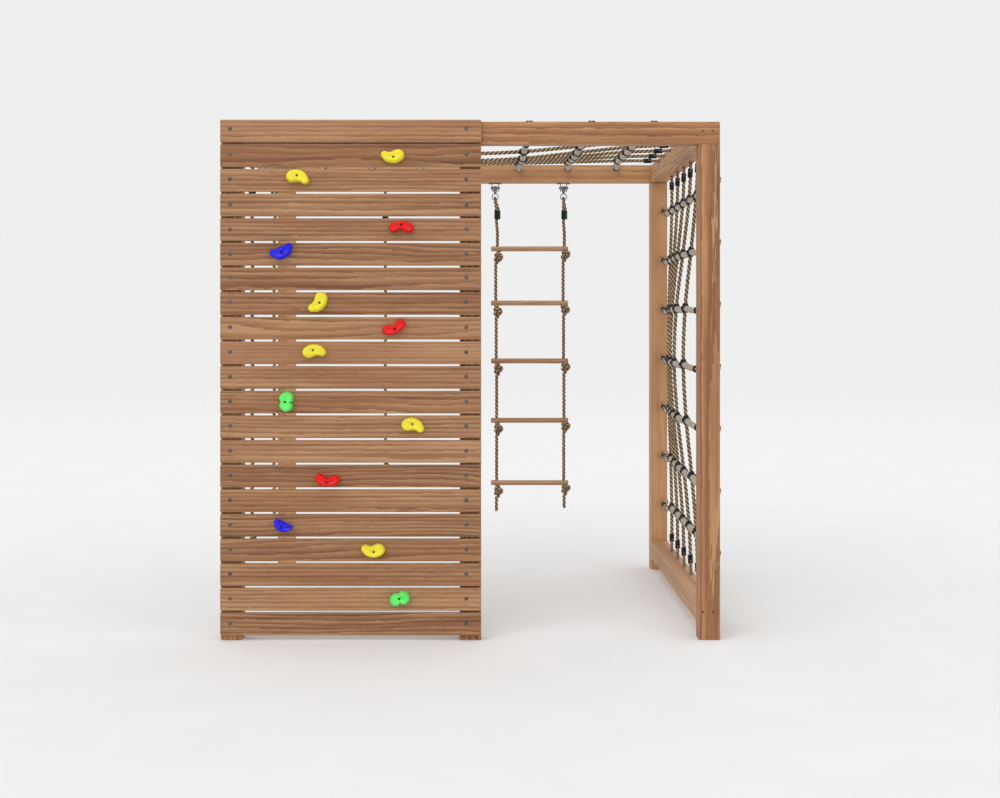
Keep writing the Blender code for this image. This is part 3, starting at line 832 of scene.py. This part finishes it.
def add_clamp(shape, place, along, up, face):
    """Adds the black cross clamp at a crossing: its tube, collar, and domed bolt caps."""
    tube = ((-CLAMP_HALF - 0.001, 0.0120), (-CLAMP_HALF, 0.0132), (-0.014, 0.0132))
    profile = tube + tuple((-height, radius) for height, radius in reversed(tube))
    lathe(shape, place, along, profile, 28)
    collar = ((-0.0215, 0.0095), (-0.0210, 0.0122), (-0.0165, 0.0128), (-0.014, 0.0140))
    profile = collar + tuple((-height, radius) for height, radius in reversed(collar))
    lathe(shape, place, up, profile, 28)
    dome = [(0.004, 0.0102), (0.0145, 0.0102)]
    dome += [(0.0145 + 0.0065 * math.sin(a), 0.0096 * math.cos(a)) for a in (0.3, 0.7, 1.1, 1.45)]
    lathe(shape, place, face, dome)
    lathe(shape, place, -Vector(face), dome)


def make_net(net, crossing, long_ends, cross_ends, reaches, outer, inset, widths):
    """A net's long ropes and its sleeved cross ropes, each a rope of its own."""
    for k, (ends, places) in enumerate(zip(long_ends, crossing), start=1):
        route = smooth_route([ends[0], *places, ends[1]], ROPE_STEP)
        name = f"{net}_long_{k}"
        net_rope(net, name, route, reaches, outer, inset, widths[0], ROPE_STEP, [])
    columns = list(zip(*crossing))
    for k, (ends, places) in enumerate(zip(cross_ends, columns), start=1):
        stations = [ends[0], *places, ends[1]]
        route = sagging(stations)
        marks = lengths(np.array(route))[::16]
        sleeves, clamps = Shape(), Shape()
        last = len(stations) - 2
        for n, (start, end) in enumerate(zip(marks, marks[1:])):
            low = start + CLAMP_HALF if n else max(start, end - END_SLEEVE)
            high = end - CLAMP_HALF if n < last else min(end, start + END_SLEEVE)
            add_sleeve(sleeves, route, low, high)
            place, inside = cut(route, low, low + 0.005, 0.01)
            add_rim(clamps, place, place - inside)
            inside, place = cut(route, high - 0.005, high, 0.01)
            add_rim(clamps, place, place - inside)
        for n, place in enumerate(places):
            line = Vector(stations[n + 2]) - Vector(stations[n])
            row = crossing[n]
            up = Vector(row[min(k, len(row) - 1)]) - Vector(row[max(k - 2, 0)])
            add_clamp(clamps, place, line, up, outer)
        extra = [("sleeves", sleeves, "net_sleeve"), ("clamps", clamps, "black_plastic")]
        both = (reaches[0], reaches[0])
        name = f"{net}_cross_{k}"
        net_rope(net, name, route, both, outer, inset, widths[1], 0.006, extra)


def make_side_net():
    """The upright net between the right posts, its long ropes running up."""
    columns = spread(LONG_ROPES, NET_CELL, MIDDLE)
    rows = spread(CROSS_ROPES, NET_CELL, SIDE_NET_MIDDLE)
    near, far = FRONT + POST, BACK - POST
    edge = RIGHT - SIDE_NET_INSET
    crossing = [[(side_net_x(y, z), y, z) for z in rows] for y in columns]
    long_ends = [
        [(edge, y, LOW_BEAM_TOP), (edge, y, BEAM_UNDER)]
        for y in spread(LONG_ROPES, NET_PITCH, MIDDLE)
    ]
    cross_ends = [
        [(edge, near, z), (edge, far, z)]
        for z in spread(CROSS_ROPES, NET_PITCH, SIDE_NET_MIDDLE)
    ]
    reaches, widths = (0.072, 0.053), (0.016, 0.0115)
    make_net(
        "side_net", crossing, long_ends, cross_ends, reaches, (1, 0, 0), SIDE_NET_INSET, widths
    )


def make_roof_net():
    """The net across the top beams, its long ropes running from left to right."""
    rows = spread(LONG_ROPES, NET_CELL, MIDDLE)
    columns = spread(CROSS_ROPES, NET_CELL, ROOF_NET_SHIFT)
    left, right = LEFT + POST, RIGHT - POST
    near, far = FRONT + POST, BACK - POST
    edge = BEAM_TOP - ROOF_NET_INSET
    crossing = [[(x, y, roof_net_z(x, y)) for x in columns] for y in rows]
    long_ends = [
        [(left, y, edge), (right, y, edge)] for y in spread(LONG_ROPES, NET_PITCH, MIDDLE)
    ]
    cross_ends = [
        [(x, near, edge), (x, far, edge)]
        for x in spread(CROSS_ROPES, NET_PITCH, ROOF_NET_SHIFT)
    ]
    reaches, widths = (0.060, 0.060), (0.017, 0.017)
    make_net(
        "roof_net", crossing, long_ends, cross_ends, reaches, (0, 0, 1), ROOF_NET_INSET, widths
    )


# ---------------- timber


# painted light: these timbers fall in the frame's own shade, so they are given a paler stick than
# their neighbours
PAINTED_LIGHT_LIFT = {
    "post_back_right": 1.5,
    "post_back_left": 1.1,
    "beam_top_back": 1.1,
    "beam_bottom_right": 1.2,
}


def timber_shape(low, high, paler=None, radius=0.004, steps=4):
    """A planed timber with rounded arrises, and its grain's own coordinates."""
    size, centre = high - low, (low + high) / 2
    bm = bmesh.new()
    bmesh.ops.create_cube(bm, size=1.0, matrix=Matrix.Diagonal((*size, 1.0)))
    bmesh.ops.bevel(
        bm, geom=bm.edges[:], offset=radius, segments=steps, profile=0.5, affect="EDGES"
    )
    bm.verts.ensure_lookup_table()
    local = np.array([v.co for v in bm.verts], float)
    faces = [tuple(v.index for v in face.verts) for face in bm.faces]
    bm.free()
    along = max(range(3), key=lambda k: size[k])
    others = [k for k in range(3) if k != along]
    start = [RNG.uniform(0, 40), RNG.choice((-1, 1)), RNG.uniform(0.02, 0.09)]
    start[1] *= RNG.uniform(0.03, 0.11)
    grain = local[:, [along, *others]] + start
    inside = np.sort(np.array(size) / 2 - np.abs(local), axis=1)
    edge = 1.0 - np.clip(inside[:, 1] / radius, 0.0, 1.0)
    # a random tone, except on the timbers made paler above, where the value is painted light for a
    # timber in shade
    tint = RNG.uniform(0.0, 1.0)
    tint = np.full(len(local), tint if paler is None else paler)
    return Shape().add(local + centre, faces, grain=grain, edge=edge, tint=tint)


def make_timber():
    """Every post, beam and board, each a stick of its own."""
    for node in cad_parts:
        if node.startswith(("post_", "beam_", "wall_board_")):
            material = "wood_board" if node.startswith("wall_board_") else "wood_frame"
            shape = timber_shape(*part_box(node), PAINTED_LIGHT_LIFT.get(node))
            piece(node + "_timber", shape, material, BODY, [node], sharp=10)


def make_rungs():
    """Turned rungs with eased ends; the ropes go through them."""
    for k in range(1, 6):
        node = f"ladder_rung_{k}"
        low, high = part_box(node)
        radius, length = (high.z - low.z) / 2, high.x - low.x
        profile = []
        ease = 0.0035
        for a in (0.0, 0.35, 0.7, 1.05, math.pi / 2):
            profile.append((ease - ease * math.cos(a), radius - ease + ease * math.sin(a)))
        profile += [(length * n / 12, radius) for n in range(1, 12)]
        profile += [(length - height, r) for height, r in reversed(profile[:5])]
        shape = Shape()
        centre = Vector((low.x, (low.y + high.y) / 2, (low.z + high.z) / 2))
        lathe(shape, centre, (1, 0, 0), profile, 40)
        local = shape.points[0] - np.array(centre)
        start = (RNG.uniform(0, 40), RNG.uniform(0.02, 0.05), RNG.uniform(0.01, 0.04))
        shape.values = {
            "grain": [local + start],
            "edge": [np.zeros(len(local))],
            "tint": [np.full(len(local), RNG.uniform(0.2, 0.8))],
        }
        piece(node + "_turned", shape, "wood_rung", "rope_ladder", [node])


# ---------------- fittings


# height along the axis and radius
SCREW = (
    (-0.001, 0.0079),
    (0.0010, 0.0080),
    (0.0018, 0.0075),
    (0.0024, 0.0062),
    (0.0025, 0.0046),
    (0.0020, 0.0042),
    (0.0002, 0.0038),
    (0.0001, 0.0006),
)


BOARDS = 21
BOARD_SCREWS = (0.042, 0.062)  # from a board's left and right ends
FRAME_SCREWS = (0.030, 0.072)  # from the frame's sides
LOW_SCREWS_Z = 0.118
# how far above its middle each board's screws are, from the top board down, and the rest's
SCREWS_RAISED = (0.010, 0.0065, 0.004, 0.0015, 0.001, 0.0015, 0.007, 0.0085)
OTHERS_RAISED = 0.004


def add_screw(shape, place, out, scale=1.0):
    """Adds a screw's socket head, with its axis along out."""
    profile = [(height * scale, radius * scale) for height, radius in SCREW]
    lathe(shape, place, out, profile)


def make_screws():
    """A screw at each end of each board, and those that hold the posts and beams."""
    boards = Shape()
    for k in range(1, BOARDS + 1):
        low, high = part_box(f"wall_board_{k:02d}")
        from_top = BOARDS - k
        raised = SCREWS_RAISED[from_top] if from_top < len(SCREWS_RAISED) else OTHERS_RAISED
        for x in (LEFT + BOARD_SCREWS[0], high.x - BOARD_SCREWS[1]):
            add_screw(boards, (x, low.y, (low.z + high.z) / 2 + raised), (0, -1, 0))
    piece("wall_board_screws", boards, "screw_steel", BODY)
    others = Shape()
    beam_z = (BEAM_UNDER + BEAM_TOP) / 2 + 0.008
    near, far = FRAME_SCREWS
    for y, out in ((FRONT, -1), (BACK, 1)):
        for x in (RIGHT - far, RIGHT - near, LEFT + far, LEFT + near):
            if x > 0 or y == BACK:  # the boards cover the front left ones
                add_screw(others, (x, y, beam_z), (0, out, 0), 0.6)
        for x in (RIGHT - far, RIGHT - near):
            add_screw(others, (x, y, LOW_SCREWS_Z), (0, out, 0), 0.6)
    for x, out in ((LEFT, -1), (RIGHT, 1)):
        for y in (FRONT + POST / 2, BACK - POST / 2):
            add_screw(others, (x, y, BEAM_UNDER - POST / 2), (out, 0, 0), 0.8)
    piece("frame_screws", others, "screw_steel", BODY)


def make_hook(name, body, place, beam_turn, nodes):
    """A bracket with its bolt under the beam, and the eye, stem and ring that swing from it."""
    right, away = direction(beam_turn), direction(beam_turn + math.pi / 2)
    under = Vector((*place, BEAM_UNDER - GAP))
    bracket = Shape()
    length, depth, thickness = HOOK_PLATE
    plate(bracket, rounded_outline(length, depth, 0.006), under, -UP, right, thickness)
    half = CHEEK_WIDTH / 2
    rounding = [
        (half * math.cos(a), half - CHEEK_DROP + half * math.sin(a))
        for a in [math.pi + math.pi * k / 12 for k in range(13)]
    ]
    cheek = rounding + [(half, -thickness / 2), (-half, -thickness / 2)]
    for side in (-1, 1):
        inner = CHEEK_X if side > 0 else -CHEEK_X - CHEEK_THICKNESS
        plate(bracket, cheek, under + right * inner, right, away, CHEEK_THICKNESS)
    pin = Vector((*place, PIN_Z))
    bolt = ((-0.0215, PIN_R * 0.8), (-0.0210, PIN_R), (0.0255, PIN_R), (0.0265, PIN_R * 0.7))
    lathe(bracket, pin, right, bolt, 20)
    outer = CHEEK_X + CHEEK_THICKNESS
    radius, head = BOLT_HEAD
    for side in (1, -1):
        face = pin + right * side * outer
        plate(bracket, regular_outline(6, radius), face, right * side, away, head, 0.0008)
    for side in (-1, 1):
        add_screw(bracket, under + right * side * 0.0285 - UP * thickness, -UP, 0.8)
    piece(f"{name}_bracket", bracket, "steel", BODY, nodes[:1])
    hanger = Shape()
    eye = [(-0.0125, 0.0085), (-0.0117, 0.0098), (0.0117, 0.0098), (0.0125, 0.0085)]
    lathe(hanger, pin, right, eye, 32)
    stem_low = RING_Z + RING_R - 0.001
    stem = [(-0.0120, 0.003), (-0.0115, -0.012), (-0.0066, stem_low - PIN_Z + 0.004)]
    stem.append((-0.0050, stem_low - PIN_Z))
    stem += [(-x, z) for x, z in reversed(stem)]
    front = pin - away * STEM_THICKNESS / 2
    plate(hanger, stem, front, away, -right, STEM_THICKNESS, 0.0012)
    shoulder = [(0.0, 0.0052), (0.001, 0.0066), (0.005, 0.0066), (0.006, 0.0050)]
    lathe(hanger, Vector((*place, stem_low + 0.0035)), UP, shoulder)
    torus(hanger, Vector((*place, RING_Z)), away, RING_R, RING_WIRE_R)
    piece(f"{name}_hanger", hanger, "steel", body, nodes[1:])


def make_hooks():
    """The ladder's two hooks and one for each single rope."""
    for side, x in zip(("left", "right"), LADDER_HOOKS):
        nodes = (f"ladder_bracket_{side}", f"ladder_hanger_{side}")
        make_hook(f"ladder_hook_{side}", "rope_ladder", (x, BACK_BEAM_Y), 0, nodes)
    make_hook("back_rope_hook", "back_rope", (BACK_ROPE_X, BACK_BEAM_Y), 0, ())
    for label, side in (("front", -1), ("rear", 1)):
        place = (SIDE_ROPE_X, MIDDLE + side * SIDE_ROPE_SPREAD / 2)
        make_hook(f"left_{label}_hook", f"left_{label}_rope", place, math.pi / 2, ())


# ---------------- holds


HOLD_SIDE_POINTS = 12
HOLD_CAP_POINTS = 9
# height share and radius share, from the wall up and over the top's rim into its dish
HOLD_RINGS = (
    (0.0, 0.96),
    (0.05, 1.0),
    (0.30, 1.03),
    (0.55, 1.0),
    (0.74, 0.93),
    (0.88, 0.82),
    (0.965, 0.69),
    (1.0, 0.56),
    (0.985, 0.42),
    (0.94, 0.28),
)
BOLT_HOLE_R = 0.0048
HOLD_BOLTS = {"bean": 0.34}  # how far along its middle line a hold's bolt is, if not half way


def hold_skeleton(shape, t):
    """The place, direction and radius at t, from 0 to 1, along a hold's middle line."""
    length, rise, radii = HOLD_SHAPES[shape]
    place = Vector(((t - 0.5) * length, rise * (0.5 - (2 * t - 1) ** 2)))
    along = Vector((length, -4 * rise * (2 * t - 1))).normalized()
    at = t * (len(radii) - 1)
    k = min(int(at), len(radii) - 2)
    share = at - k
    share = share * share * (3 - 2 * share)
    return place, along, radii[k] + (radii[k + 1] - radii[k]) * share


def hold_outline(shape, share):
    """The outline at that share of the radii: along one side, round the end, and back."""
    outline = []
    for side, ends in ((1, (0.0, 1.0)), (-1, (1.0, 0.0))):
        for k in range(HOLD_SIDE_POINTS + 1):
            t = ends[0] + (ends[1] - ends[0]) * k / HOLD_SIDE_POINTS
            place, along, radius = hold_skeleton(shape, t)
            outline.append(place + Vector((-along.y, along.x)) * side * radius * share)
        place, along, radius = hold_skeleton(shape, ends[1])
        for k in range(1, HOLD_CAP_POINTS):
            turn = math.pi * (0.5 - k / HOLD_CAP_POINTS)
            across = Vector((-along.y, along.x))
            out = (along * math.cos(turn) + across * math.sin(turn)) * side
            outline.append(place + out * radius * share)
    return outline


def hold_shape(shape, height):
    """A hold on the plane Z = 0, its bolt hole in the middle of its dished top."""
    rings = []
    for up, share in HOLD_RINGS:
        rings.append([(p.x, p.y, up * height) for p in hold_outline(shape, share)])
    middle = hold_skeleton(shape, HOLD_BOLTS.get(shape, 0.5))[0]
    outer = [Vector(p[:2]) - middle for p in rings[-1]]
    for radius, up in ((1.5, 0.90), (1.0, 0.88), (0.94, 0.50), (0.5, 0.495)):
        ring = [middle + p.normalized() * BOLT_HOLE_R * radius for p in outer]
        rings.append([(p.x, p.y, up * height) for p in ring])
    return np.array(rings), middle


def make_holds():
    """Each hold turned to its tilt and fitted to its solid's box, and its bolt."""
    bolts = Shape()
    for node, tilt, kind in HOLDS:
        low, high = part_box(node)
        height = high.y - low.y
        rings, middle = hold_shape(kind, height)
        turn = math.radians(tilt)
        x, z, up = rings[..., 0], rings[..., 1], rings[..., 2]
        turned_x = x * math.cos(turn) - z * math.sin(turn)
        turned_z = x * math.sin(turn) + z * math.cos(turn)
        own = np.array(((turned_x.min(), turned_z.min()), (turned_x.max(), turned_z.max())))
        cad = np.array(((low.x, low.z), (high.x, high.z)))
        scale = (cad[1] - cad[0]) / (own[1] - own[0])
        shift = cad.mean(axis=0) - own.mean(axis=0) * scale
        px, pz = turned_x * scale[0] + shift[0], turned_z * scale[1] + shift[1]
        points = np.stack([px, high.y - up, pz], axis=-1)
        shape = Shape().add(points, [f[::-1] for f in grid_faces(*points.shape[:2])])
        colour = "hold_" + node.split("_")[-1]
        hold = piece(node + "_moulded", shape, colour, BODY, [node], sharp=50)
        smooth = hold.modifiers.new("smooth", "SUBSURF")
        smooth.levels = smooth.render_levels = 1
        at_x = middle.x * math.cos(turn) - middle.y * math.sin(turn)
        at_z = middle.x * math.sin(turn) + middle.y * math.cos(turn)
        place = (at_x * scale[0] + shift[0], high.y - 0.5 * height, at_z * scale[1] + shift[1])
        head = ((-0.001, 0.0038), (0.0045, 0.0038), (0.0052, 0.0033), (0.0052, 0.0022))
        head += ((0.0022, 0.0020), (0.0020, 0.0005))
        lathe(bolts, place, (0, -1, 0), head)
    piece("hold_bolts", bolts, "screw_steel", BODY)


# ---------------- floor and light


FLOOR_REACH = 30.0
BACKGROUND = 0.862


def make_floor():
    """A disc under the feet, which fades out before its edge."""
    mesh = bpy.data.meshes.new("floor")
    bm = bmesh.new()
    bmesh.ops.create_circle(bm, cap_ends=True, segments=96, radius=FLOOR_REACH)
    bm.to_mesh(mesh)
    bm.free()
    mesh.materials.append(floor_paint(FLOOR_REACH))
    floor = bpy.data.objects.new("floor", mesh)
    floor.location.z = -0.0005
    bpy.context.scene.collection.objects.link(floor)


def soft_sun(name, source, spread_degrees, strength):
    """A wide, even light from the direction of source."""
    data = bpy.data.lights.new(name, "SUN")
    data.angle = math.radians(spread_degrees)
    data.energy = strength
    light = bpy.data.objects.new(name, data)
    light.rotation_euler = (-Vector(source)).to_track_quat("-Z", "Y").to_euler()
    bpy.context.scene.collection.objects.link(light)


def make_light():
    """An even white surround, a soft key light and a weak fill."""
    world = bpy.data.worlds.new("studio")
    world.use_nodes = True
    background = world.node_tree.nodes["Background"]
    background.inputs["Color"].default_value = (*(BACKGROUND,) * 3, 1.0)
    background.inputs["Strength"].default_value = 1.0
    bpy.context.scene.world = world
    bpy.context.scene.view_settings.view_transform = "Standard"
    soft_sun("key", (-0.45, -1.0, 0.85), 50, 0.85)
    soft_sun("fill", (0.6, -0.9, 0.1), 70, 0.30)


make_camera()
make_hanging_ropes()
make_side_net()
make_roof_net()
make_timber()
make_rungs()
make_hooks()
make_screws()
make_holds()
make_floor()
make_light()
